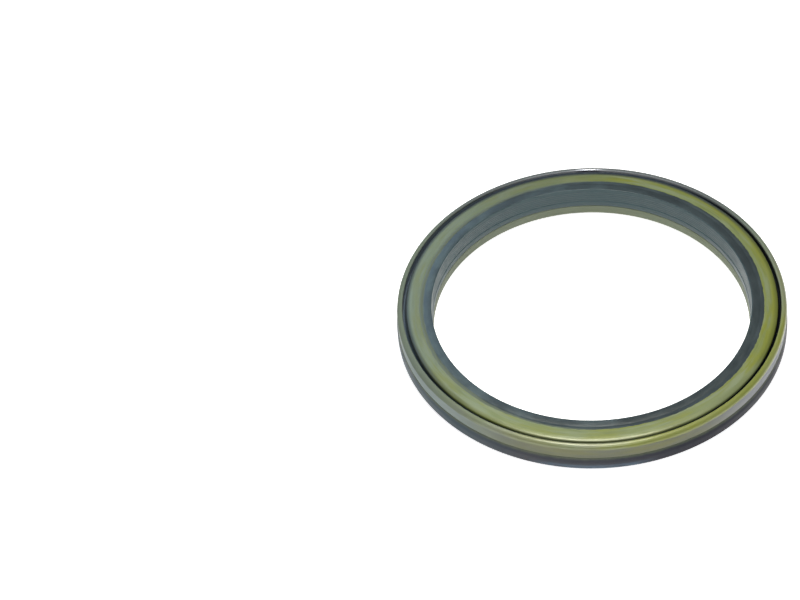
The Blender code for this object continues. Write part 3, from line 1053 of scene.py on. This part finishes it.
def lip_section(s):
    """Rubber inside the case: dust lip, main lip, side lip and the lining of the mouth."""
    base_foot = FACE_RECESS + SHEET + BOND
    base_top = base_foot + LIP_BASE
    wall_outer = s.housing_radius - JACKET_THICKNESS - SHEET - BOND
    wall_inner = wall_outer - WALL_LINING
    mouth_outer = s.metal_radius - SHEET - BOND
    mouth_inner = mouth_outer - MOUTH_LINING
    mouth_foot = s.jacket_width + SHEET + 2 * BOND
    mouth_top = s.case_width - RIM_HEIGHT - BOND
    edge = s.bore_radius + LINING_THICKNESS + SHEET + LIP_GAP
    edge_height = s.flange_top - FACE_RUBBER_THICKNESS - SHEET - 2 * LIP_GAP - LIP_HEAD_RISE
    head_top = edge_height + LIP_HEAD_RISE
    back = edge + LIP_HEAD_WIDTH
    groove = s.coil_radius + LIP_GAP / 3
    groove_height = edge_height + groove / 2 + SMALL_BEND
    neck = back - LIP_NECK
    dust_edge = s.bore_radius + SHEET + LIP_GAP
    side_top = s.flange_top - SHEET - LIP_GAP
    side_outer = wall_outer - SIDE_LIP_LEAN
    grooves = []
    for step in range(GROOVE_STEPS + 1):
        angle = math.pi / 2 + math.pi * step / GROOVE_STEPS
        r = back + groove * math.cos(angle)
        z = groove_height + groove * math.sin(angle)
        grooves.append((r, z, 0))
    return [
        (side_outer, side_top, EDGE_BREAK),
        (wall_outer, mouth_foot + MOUTH_LINING, SMALL_BEND),
        (mouth_inner, mouth_foot + MOUTH_LINING, SMALL_BEND),
        (mouth_inner, mouth_top, EDGE_BREAK),
        (mouth_outer, mouth_top, 0),
        (mouth_outer, mouth_foot, 0),
        (wall_outer, mouth_foot, 0),
        (wall_outer, base_foot, CASE_BEND),
        (dust_edge, base_foot, EDGE_BREAK),
        (dust_edge, base_foot + DUST_LIP, EDGE_BREAK),
        (dust_edge + DUST_LIP_ROOT, base_top, SMALL_BEND),
        (neck, base_top, SMALL_BEND),
        (neck, edge_height - LIP_RISE, SMALL_BEND),
        (edge, edge_height, EDGE_BREAK),
        (edge + LIP_RISE / 2, head_top, SMALL_BEND),
        (back, head_top, EDGE_BREAK),
        *grooves,
        (back, base_top, SMALL_BEND),
        (wall_inner, base_top, SMALL_BEND),
        (wall_inner, mouth_foot - LIP_BASE, SMALL_BEND),
        (side_outer - SIDE_LIP, side_top, EDGE_BREAK),
    ]


class SEAL_OT_steel_case(Operator):
    """Turn the pressed steel case"""

    bl_idname = "seal.steel_case"
    bl_label = "Steel case"

    def execute(self, context):
        sizes = context.scene.seal_sizes
        inner = sizes.metal_radius - RIM_WIDTH
        rim = (inner, sizes.case_width - RIM_HEIGHT, sizes.metal_radius)
        finish = lacquered_steel("olive lacquer, case", context.scene.seal_finishes, rim)
        piece = turned("case_shell", case_section(sizes))
        dress(piece, finish, "case", "outer_case")
        return {"FINISHED"}


class SEAL_OT_jacket(Operator):
    """Mould the rubber jacket on the case"""

    bl_idname = "seal.jacket"
    bl_label = "Rubber jacket"

    def execute(self, context):
        sizes = context.scene.seal_sizes
        thin = around(sizes.jacket_width, JACKET_FILM)
        clean = around(sizes.bore_radius, JACKET_CLEAN)
        finishes = context.scene.seal_finishes
        finish = moulded_rubber("jacket rubber", finishes, clean, JACKET_FOOT_HIGHLIGHT, thin)
        piece = turned("jacket_band", jacket_section(sizes))
        dress(piece, finish, "case", "outer_jacket")
        return {"FINISHED"}


class SEAL_OT_sleeve(Operator):
    """Turn the flanged steel sleeve"""

    bl_idname = "seal.sleeve"
    bl_label = "Flanged sleeve"

    def execute(self, context):
        sizes = context.scene.seal_sizes
        sleeve = (sizes.bore_radius, sizes.flange_radius)
        finishes = context.scene.seal_finishes
        finish = lacquered_steel("olive lacquer, sleeve", finishes, sleeve=sleeve)
        piece = turned("sleeve_shell", sleeve_section(sizes))
        dress(piece, finish, "sleeve", "inner_sleeve")
        return {"FINISHED"}


class SEAL_OT_lining(Operator):
    """Mould the ribbed rubber bore and its flash on the flange"""

    bl_idname = "seal.lining"
    bl_label = "Bore lining"

    def execute(self, context):
        sizes = context.scene.seal_sizes
        film = around(sizes.face_rubber_radius, FLANGE_FILM)
        clean = around(sizes.bore_radius, BORE_CLEAN)
        finish = moulded_rubber("lining rubber", context.scene.seal_finishes, clean, film=film)
        piece = turned("bore_lining", lining_section(sizes), FLASH_STEPS, flash_shape(sizes))
        dress(piece, finish, "sleeve", "sleeve_lining")
        return {"FINISHED"}


class SEAL_OT_lips(Operator):
    """Mould the rubber lips inside the case"""

    bl_idname = "seal.lips"
    bl_label = "Lips"

    def execute(self, context):
        sizes = context.scene.seal_sizes
        mouth = around(sizes.flange_radius, MOUTH_EDGE)
        finish = moulded_rubber("lip rubber", context.scene.seal_finishes, mouth=mouth)
        piece = turned("lip_moulding", lip_section(sizes))
        dress(piece, finish, "case", "lip_ring")
        return {"FINISHED"}


def coil_mesh(ring, middle, sizes):
    """The garter spring's wire, wound round a ring at the height of its middle."""
    coil = sizes.coil_radius - sizes.wire_radius
    count = COIL_SIDES * int(math.tau * ring / (COIL_PITCH * sizes.wire_radius))
    curve = bpy.data.curves.new("garter_coil", "CURVE")
    curve.dimensions = "3D"
    curve.bevel_depth = sizes.wire_radius
    curve.bevel_resolution = WIRE_SIDES - 1
    line = curve.splines.new("POLY")
    line.points.add(count - 1)
    line.use_cyclic_u = True
    for index, point in enumerate(line.points):
        bearing = math.tau * index / count
        twist = math.tau * index / COIL_SIDES
        r = ring + coil * math.cos(twist)
        z = middle + coil * math.sin(twist)
        point.co = (r * math.cos(bearing), r * math.sin(bearing), z, 1.0)
    wound = bpy.data.objects.new("garter_coil", curve)
    bpy.context.scene.collection.objects.link(wound)
    shown = wound.evaluated_get(bpy.context.evaluated_depsgraph_get())
    mesh = bpy.data.meshes.new_from_object(shown)
    bpy.data.objects.remove(wound)
    mesh.shade_smooth()
    return mesh


class SEAL_OT_spring(Operator):
    """Wind the garter spring behind the main lip"""

    bl_idname = "seal.spring"
    bl_label = "Garter spring"

    def execute(self, context):
        sizes = context.scene.seal_sizes
        low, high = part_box("garter_spring")
        ring = high.x - sizes.coil_radius * math.cos(math.pi / 8)
        mesh = coil_mesh(ring, (low.z + high.z) / 2, sizes)
        piece = bpy.data.objects.new("garter_coil", mesh)
        context.scene.collection.objects.link(piece)
        finish = drawn_wire("spring wire", context.scene.seal_finishes)
        dress(piece, finish, "case", "garter_spring")
        return {"FINISHED"}


def floor_material():
    """A white floor that still takes the seal's shadow."""
    made = bpy.data.materials.new("white floor")
    made.use_nodes = True
    tree = made.node_tree
    tree.nodes.clear()
    path = tree.nodes.new("ShaderNodeLightPath")
    total = path.outputs["Is Camera Ray"]
    for ray in ("Is Glossy Ray", "Is Transmission Ray"):
        either = tree.nodes.new("ShaderNodeMath")
        either.operation = "MAXIMUM"
        tree.links.new(total, either.inputs[0])
        tree.links.new(path.outputs[ray], either.inputs[1])
        total = either.outputs[0]
    share = tree.nodes.new("ShaderNodeMath")
    share.operation = "MULTIPLY"
    share.inputs[1].default_value = FLOOR_GLOW
    tree.links.new(total, share.inputs[0])
    matt = tree.nodes.new("ShaderNodeBsdfDiffuse")
    matt.inputs["Color"].default_value = FLOOR_COLOUR
    glow = tree.nodes.new("ShaderNodeEmission")
    tree.links.new(share.outputs[0], glow.inputs["Strength"])
    both = tree.nodes.new("ShaderNodeAddShader")
    tree.links.new(matt.outputs[0], both.inputs[0])
    tree.links.new(glow.outputs[0], both.inputs[1])
    out = tree.nodes.new("ShaderNodeOutputMaterial")
    tree.links.new(both.outputs[0], out.inputs["Surface"])
    return made


def studio_world():
    """A pale room, brighter on the left, that the camera sees as white."""
    world = bpy.data.worlds.new("pale room")
    world.use_nodes = True
    tree = world.node_tree
    room = tree.nodes["Background"]
    out = tree.nodes["World Output"]
    place = tree.nodes.new("ShaderNodeTexCoord")
    parts = tree.nodes.new("ShaderNodeSeparateXYZ")
    tree.links.new(place.outputs["Generated"], parts.inputs[0])
    across = tree.nodes.new("ShaderNodeMapRange")
    across.interpolation_type = "SMOOTHSTEP"
    for name, value in ROOM_SPAN.items():
        across.inputs[name].default_value = value
    tree.links.new(parts.outputs["X"], across.inputs["Value"])
    tree.links.new(across.outputs["Result"], room.inputs["Strength"])
    room.inputs["Color"].default_value = ROOM_COLOUR
    white = tree.nodes.new("ShaderNodeBackground")
    white.inputs["Strength"].default_value = 1.0
    path = tree.nodes.new("ShaderNodeLightPath")
    mixed = tree.nodes.new("ShaderNodeMixShader")
    tree.links.new(path.outputs["Is Camera Ray"], mixed.inputs[0])
    tree.links.new(room.outputs[0], mixed.inputs[1])
    tree.links.new(white.outputs[0], mixed.inputs[2])
    tree.links.new(mixed.outputs[0], out.inputs["Surface"])
    bpy.context.scene.world = world


def place_lamp(settings, power, aim):
    """A rectangular lamp that points at the seal."""
    name, size, place, colour = settings
    data = bpy.data.lights.new(name, "AREA")
    data.shape = "RECTANGLE"
    data.energy = power
    data.size, data.size_y = size
    data.color = colour
    made = bpy.data.objects.new(name, data)
    bpy.context.scene.collection.objects.link(made)
    made.location = place
    made.rotation_euler = (aim - made.location).to_track_quat("-Z", "Y").to_euler()


def place_camera(settings, middle):
    """The camera of the photograph, turned so that the seal lies at its place in the frame."""
    data = bpy.data.cameras.new("camera")
    data.sensor_width = SENSOR
    data.lens = settings.lens
    data.clip_start, data.clip_end = CLIP
    camera = bpy.data.objects.new("camera", data)
    bpy.context.scene.collection.objects.link(camera)
    back = Vector((0.0, -math.cos(settings.elevation), math.sin(settings.elevation)))
    focal = settings.lens / SENSOR * PHOTO_SIZE[0]
    across = SEAL_PIXEL[0] - PHOTO_SIZE[0] / 2
    down = SEAL_PIXEL[1] - PHOTO_SIZE[1] / 2
    pan = math.atan(across / focal)
    tilt = math.atan(down / math.hypot(focal, across))
    facing = (-back).to_track_quat("-Z", "Y").to_matrix()
    lean = Matrix.Rotation(settings.roll, 3, "Z")
    turn = lean @ Matrix.Rotation(tilt, 3, "X") @ Matrix.Rotation(pan, 3, "Y")
    place = Matrix.Translation(middle + back * settings.distance)
    camera.matrix_world = place @ (facing @ turn).to_4x4()
    bpy.context.scene.camera = camera


class SEAL_OT_stage(Operator):
    """Lay the floor, light the room and place the camera"""

    bl_idname = "seal.stage"
    bl_label = "Stage"

    def execute(self, context):
        settings = context.scene.seal_stage
        middle = Vector((0.0, 0.0, FACE_RECESS))
        mesh = bpy.data.meshes.new("floor")
        corners = [(x * FLOOR_HALF, y * FLOOR_HALF, 0) for x, y in FLOOR_CORNERS]
        mesh.from_pydata(corners, [], [(0, 1, 2, 3)])
        mesh.materials.append(floor_material())
        floor = bpy.data.objects.new("floor", mesh)
        floor.location.z = -FLOOR_DROP
        context.scene.collection.objects.link(floor)
        studio_world()
        place_lamp(BACK_LAMP, settings.back_power, middle)
        place_lamp(TOP_LAMP, settings.top_power, middle)
        place_lamp(FRONT_LAMP, settings.front_power, middle)
        place_camera(settings, middle)
        context.scene.view_settings.view_transform = "Standard"
        return {"FINISHED"}


class SEAL_PT_panel(Panel):
    """Pieces of the seal, its sizes and its colours"""

    bl_idname = "SEAL_PT_panel"
    bl_label = "Cassette oil seal"
    bl_space_type = "VIEW_3D"
    bl_region_type = "UI"
    bl_category = "Seal"

    def draw(self, context):
        for operator in OPERATORS:
            self.layout.operator(operator.bl_idname)
        for group in SETTINGS:
            settings = getattr(context.scene, group)
            for name in settings.__annotations__:
                self.layout.prop(settings, name)


OPERATORS = (
    SEAL_OT_steel_case,
    SEAL_OT_jacket,
    SEAL_OT_sleeve,
    SEAL_OT_lining,
    SEAL_OT_lips,
    SEAL_OT_spring,
    SEAL_OT_stage,
)
SETTINGS = {"seal_sizes": SealSizes, "seal_finishes": SealFinishes, "seal_stage": StageSettings}
CLASSES = (*SETTINGS.values(), *OPERATORS, SEAL_PT_panel)


def register():
    """Add the settings, operators and panel."""
    for cls in CLASSES:
        bpy.utils.register_class(cls)
    for name, cls in SETTINGS.items():
        setattr(bpy.types.Scene, name, PointerProperty(type=cls))


def unregister():
    """Take the settings, operators and panel away again."""
    for name in SETTINGS:
        delattr(bpy.types.Scene, name)
    for cls in reversed(CLASSES):
        bpy.utils.unregister_class(cls)


def main():
    """Build every piece and the stage."""
    register()
    for operator in OPERATORS:
        group, name = operator.bl_idname.split(".")
        getattr(getattr(bpy.ops, group), name)()


if __name__ == "__main__":
    main()
